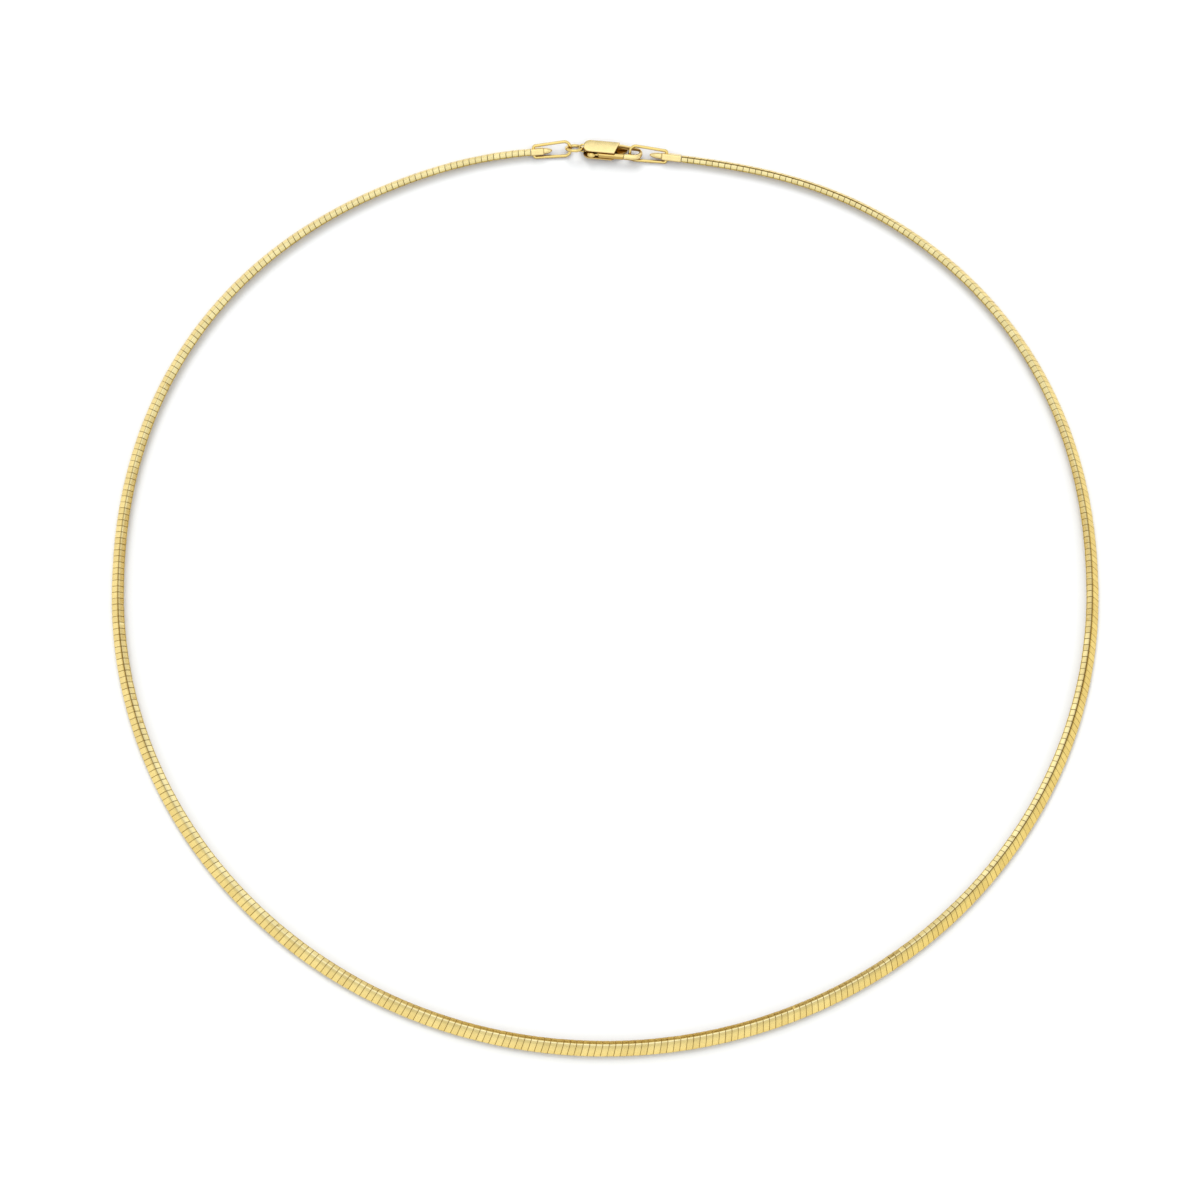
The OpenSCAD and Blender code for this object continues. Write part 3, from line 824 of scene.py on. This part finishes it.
clasp = {
    "middle": (1.23, 70.7256, 1.15923),
    "turn": -5.5,           # degrees, seen from above
    "roll": -20.0,          # degrees, the spine's side down
    "halfLength": 4.525,
    "halfWidth": 1.38,
    "halfThick": 0.8,
    "cheek": 0.35,
    "cheekEdge": 0.17,
    "cheekSoft": 0.08,      # rounding of a cheek's ends
    "dome": 0.07,           # how much lower the cheeks' edges lie than their middle
    "roundEnd": 1.05,       # radius of the end with the eye, seen from above
    "upperSetback": 0.4,    # how much narrower the upper cheek is
    # where a bar ends on the right: x at its middle, more per mm of y, more per mm below z 0
    "upperEnd": (0.53, 0.29, 0.0),
    "lowerEnd": (1.35, 1.1, 0.0),
    "spineEnd": (0.75, 0.0, 0.6),
    "webEnd": (-3.2, 0.0, 0.0),
    "mostEnd": 2.15,
    "spineWidth": 0.63,
    "spineInset": (0.1, 0.02, 0.13),        # from the shell's end, side and faces
    "spineEdge": 0.28,
    "spineSoft": 0.1,
    "webFrom": 0.495,                       # from the shell's end
    "webSides": (-0.15, 1.0),
    "webOverlap": 0.01,                     # into the cheeks
    "webEdge": 0.05,
    "webSoft": 0.04,
    "eyeAt": (-4.575, 0.15, 0.0),
    "eyeTurn": 75.0,
    "eyeInner": 0.95,
    "eyeWire": 0.3,
    "pivot": (-1.9, -0.35),
}


def inClasp(parts):
    # turned and rolled about the clasp's middle, then moved to its place
    pose = turned("Z", clasp["turn"]) @ turned("X", clasp["roll"])
    return [(p @ pose.T + shift + clasp["middle"]) * mm for p in parts]


def slab(low, high, edge, left, end, soft, dome=0.0):
    # A rounded bar along x, between two corners of its section (y, z). Its right end lies at
    # start + slope * y + fall * depth, at most mostEnd. Near the eye's end the plan is round: y
    # is drawn in by 1 - (R - R sin a) / half width, where x = left + R (1 - cos a). The outer
    # faces fall by dome * (y / half width) ^ 2.
    section = barSection(low, high, edge)
    shares, inset, back = softEnds(fineness["barAlong"], soft)
    ring = drawnIn(section, inset)
    y, z = ring[..., 0], ring[..., 1]
    r, w = clasp["roundEnd"], clasp["halfWidth"]
    start, slope, fall = end
    right = start + slope * y + fall * np.clip(-z, 0, clasp["halfThick"])
    right = np.minimum(right, clasp["mostEnd"])
    x = left + shares[:, None] ** rowCrowd * (right - left) + back[:, None]
    a = np.arccos(np.clip(1 - (x + clasp["halfLength"]) / r, 0, 1))
    z = z - np.sign(z) * dome * (y / w) ** 2
    y = y * (1 - (r - r * np.sin(a)) / w)
    return np.stack([x, y, z], -1)


def claspShell():
    # upper and lower cheek, the spine between them, and the web behind the eye: four slabs
    w, t, c = clasp["halfWidth"], clasp["halfThick"], clasp["cheek"]
    left = -clasp["halfLength"]
    edge, soft, dome = clasp["cheekEdge"], clasp["cheekSoft"], clasp["dome"]
    upperLow = (-w + clasp["upperSetback"], t - c)
    upper = slab(upperLow, (w, t), edge, left, clasp["upperEnd"], soft, dome)
    lower = slab((-w, -t), (w, c - t), edge, left, clasp["lowerEnd"], soft, dome)
    fromEnd, fromSide, fromFace = clasp["spineInset"]
    spine = slab((w - clasp["spineWidth"], -t + fromFace), (w - fromSide, t - fromFace),
                 clasp["spineEdge"], left + fromEnd, clasp["spineEnd"], clasp["spineSoft"])
    near, far = clasp["webSides"]
    slot = t - c + clasp["webOverlap"]
    web = slab((near, -slot), (far, slot), clasp["webEdge"], left + clasp["webFrom"],
               clasp["webEnd"], clasp["webSoft"])
    return [upper, lower, spine, web]


# the claw's middle line and half sizes, from its near tip round the bend to the spine
hookRows = np.array([
    # x, y, half width, half height
    (1.60, -0.915, 0.455, 0.46),
    (2.30, -0.915, 0.465, 0.48),
    (3.10, -0.910, 0.470, 0.48),
    (3.70, -0.780, 0.430, 0.47),
    (4.10, -0.420, 0.350, 0.44),
    (4.25, 0.060, 0.265, 0.38),
    (4.14, 0.480, 0.210, 0.33),
    (3.80, 0.760, 0.180, 0.32),
    (3.20, 0.860, 0.200, 0.34),
    (2.40, 0.930, 0.260, 0.40),
    (1.50, 0.980, 0.300, 0.50),
    (0.60, 1.000, 0.320, 0.58),
    (-0.30, 1.000, 0.320, 0.58),
])


def smoothRows(rows, count):
    # the cubic curve through all rows whose slope at each is half the step between its
    # neighbours, read at evenly spaced places
    padded = np.vstack([2 * rows[0] - rows[1], rows, 2 * rows[-1] - rows[-2]])
    t = np.linspace(0, len(rows) - 1.000001, count)
    i = t.astype(int)
    f = (t - i)[:, None]
    a, b, c, d = (padded[i + k] for k in range(4))
    return b + 0.5 * f * (c - a + f * (2 * a - 5 * b + 4 * c - d + f * (3 * (b - c) + d - a)))


lever = {
    "reach": 3.7,           # from the pivot to the tip
    "gap": 0.06,            # between tip and claw
    "sides": (-1.30, -0.70),
    "halfThick": 0.38,
    "edge": 0.14,
    "soft": 0.06,
    "tail": 0.5,            # how far the arm runs on past the pivot
    "tailDraw": (0.45, 0.4, -1.0, -0.8),    # over what length and how far the tail's side is
                                            # drawn in, from which y, and to which at most
    "hub": 0.53,
    "hubEdge": 0.05,
    "tabAt": (-3.24, -1.14, 0.0),
    "tabHalf": (0.68, 0.48, 0.38),
    "neckSides": (-1.14, -0.86),
    "neckHalfThick": 0.2,
    "neckEdge": 0.1,
    "neckReach": 0.9,
}


def hookGrid():
    # an ellipse carried along the claw's middle line, its near tip cut off along the circle
    # that the lever's tip swings on
    count = fineness["clawAlong"]
    row = smoothRows(hookRows, count)
    ahead = np.gradient(row[:, :2], axis=0)
    ahead /= np.linalg.norm(ahead, axis=1, keepdims=True)
    around = circle(fineness["clawRound"])[None, :]
    wide = row[:, 2:3] * np.cos(around)
    x = row[:, :1] + wide * ahead[:, 1:2]
    y = row[:, 1:2] - wide * ahead[:, :1]
    z = row[:, 3:4] * np.sin(around)
    px, py = clasp["pivot"]
    near = lever["reach"] + lever["gap"]
    arc = px + np.sqrt(near ** 2 - (np.minimum(y, 0) - py) ** 2)
    atTip = np.arange(count)[:, None] < count // 3
    return np.stack([np.where(atTip, np.maximum(x, arc), x), y, z], -1)


def eyeGrid():
    # a small torus, turned so that the ring passes through it
    grid = torusGrid((clasp["eyeInner"] + clasp["eyeWire"]) / 2, clasp["eyeWire"])
    return grid @ turned("X", clasp["eyeTurn"]).T + clasp["eyeAt"]


def leverParts():
    # Arm: a rounded bar whose tip is an arc about the pivot and whose other end is drawn in.
    # Hub: a short round post. Tab: a leaf whose half width falls as (1 - t ^ 2) ^ 0.75 and half
    # thickness as that to the power 0.7. Neck: a thin bar from hub to tab.
    px, py = clasp["pivot"]
    near, far = lever["sides"]
    thick = lever["halfThick"]
    section = barSection((near, -thick), (far, thick), lever["edge"])
    shares, inset, back = softEnds(fineness["barAlong"], lever["soft"])
    ring = drawnIn(section, inset)
    y, z = ring[..., 0], ring[..., 1]
    left = px - lever["tail"]
    tip = px + np.sqrt(lever["reach"] ** 2 - (y - py) ** 2)
    x = left + shares[:, None] ** rowCrowd * (tip - left) + back[:, None]
    length, most, below, limit = lever["tailDraw"]
    drawn = np.clip(1 - (x - left) / length, 0, 1) ** 2 * most
    y = np.where(y < below, np.minimum(y + drawn, limit), y)
    arm = np.stack([x, y, z], -1)

    around = circle(fineness["leverRound"])[None, :]
    edge = lever["hubEdge"]
    level = np.array([-thick, edge - thick, thick - edge, thick])[:, None]
    r = lever["hub"] - np.array([edge, 0, 0, edge])[:, None]
    hub = np.stack([px + r * np.cos(around), py + r * np.sin(around), level + 0 * around], -1)

    # rows from point to point of the leaf, closer together at both, just short of them
    a, b, c = lever["tabHalf"]
    t = np.sin(np.linspace(-1, 1, fineness["tabAlong"]) * 0.497 * np.pi)[:, None]
    fall = (1 - t ** 2) ** 0.75
    leaf = [a * t + 0 * around, b * fall * np.cos(around), c * fall ** 0.7 * np.sin(around)]
    tab = np.stack(leaf, -1) + lever["tabAt"]

    near, far = lever["neckSides"]
    thick = lever["neckHalfThick"]
    section = barSection((near, -thick), (far, thick), lever["neckEdge"])
    steps = np.linspace(px - lever["neckReach"], px, fineness["neckAlong"])
    neck = np.empty((len(steps), len(section), 3))
    neck[..., 0] = steps[:, None]
    neck[..., 1:] = section
    return [arm, hub, tab, neck]


# painted shade inside the clasp: on the faces of the slot between the cheeks and on the claw's side
# towards its opening
inside = {
    "slotEdge": 0.03,       # how far past the cheeks' inner faces the painted shade reaches
    "spineFrom": 1.05,      # y where the spine's own outer face starts
    "clawFrom": 0.22,       # share of the claw's length where its inner side starts
    "clawOver": 0.08,
    "sideFrom": 0.25,       # cosine round the claw's section, towards its opening
    "sideOver": 0.35,
    "clawMost": 0.9,
}


def insideShell(grid):
    # painted shade: 1 on what faces the slot between the cheeks, 0 on the outside
    slot = clasp["halfThick"] - clasp["cheek"] + inside["slotEdge"]
    return ((abs(grid[..., 2]) < slot) & (grid[..., 1] < inside["spineFrom"])).astype(float)


def insideHook(grid):
    # painted shade that rises round the side of the claw that faces its opening, and along its bend
    # and far arm
    rows, cols = grid.shape[:2]
    reach = np.clip((np.linspace(0, 1, rows) - inside["clawFrom"]) / inside["clawOver"], 0, 1)
    side = (-np.cos(circle(cols)) - inside["sideFrom"]) / inside["sideOver"]
    return np.clip(side, 0, 1)[None, :] * reach[:, None] * inside["clawMost"]


shell, claw = claspShell(), hookGrid()
shellMesh = meshFromParts("claspShell", inClasp(shell))
shellMesh = shadeBy(shellMesh, [insideShell(grid) for grid in shell])
clawMesh = shadeBy(meshFromParts("claspClaw", inClasp([claw])), [insideHook(claw)])
eyeMesh = shadeBy(meshFromGrid("claspEye", inClasp([eyeGrid()])[0], True))
leverMesh = shadeBy(meshFromParts("claspLever", inClasp(leverParts())))
for name, mesh, gold in [("claspShell", shellMesh, claspGold), ("claspClaw", clawMesh, claspGold),
                         ("claspEye", eyeMesh, wireGold)]:
    place(name, mesh, gold, "necklace", ["clasp_body"])
place("claspLever", leverMesh, shadedLeverGold, "lever", ["clasp_lever"])
print("clasp made")
